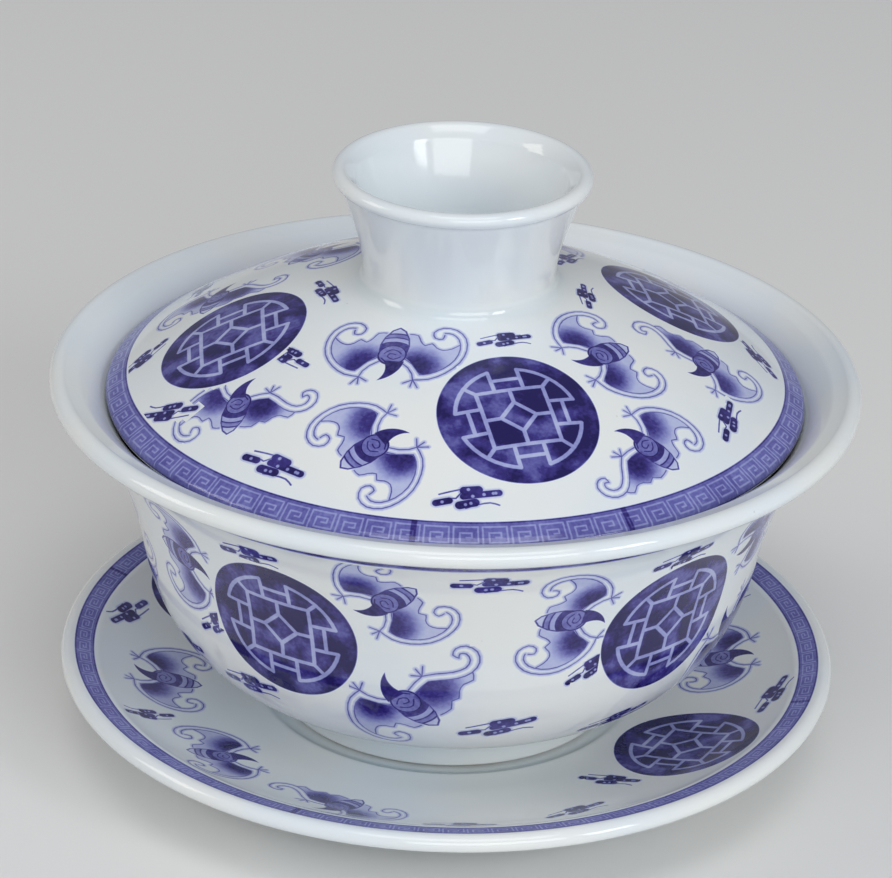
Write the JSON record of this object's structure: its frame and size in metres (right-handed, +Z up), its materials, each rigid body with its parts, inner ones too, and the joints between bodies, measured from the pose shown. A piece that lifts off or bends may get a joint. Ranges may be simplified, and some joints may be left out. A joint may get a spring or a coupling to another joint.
{
  "type": "gaiwan",
  "caption": "Lidded porcelain tea bowl with a flared rim, a domed lid with a hollow knob, and a saucer with a sunk well.",
  "frame": {"origin": "on the table, under the middle of the saucer, in the plane of its foot ring", "axes": "+Z up along the common axis of saucer, bowl and lid; -Y is the side that faces the viewer, +X to the viewer's right"},
  "size_m": [0.104, 0.104, 0.0789],
  "materials": {
    "saucer_glaze": "clear glaze over white porcelain with cobalt blue transfers",
    "bowl_glaze": "clear glaze over white porcelain with cobalt blue transfers",
    "lid_glaze": "clear glaze over white porcelain with cobalt blue transfers"
  },
  "bodies": {
    "saucer": {"saucer": "saucer_glaze"},
    "bowl": {"bowl": "bowl_glaze"},
    "lid": {"lid": "lid_glaze"}
  },
  "joints": [
    {"name": "bowl_lift", "type": "slide", "parent": "saucer", "child": "bowl", "axis": [0, 0, 1], "range_m": [0, 0.06]},
    {"name": "lid_lift", "type": "slide", "parent": "bowl", "child": "lid", "axis": [0, 0, 1], "range_m": [0, 0.06]}
  ]
}
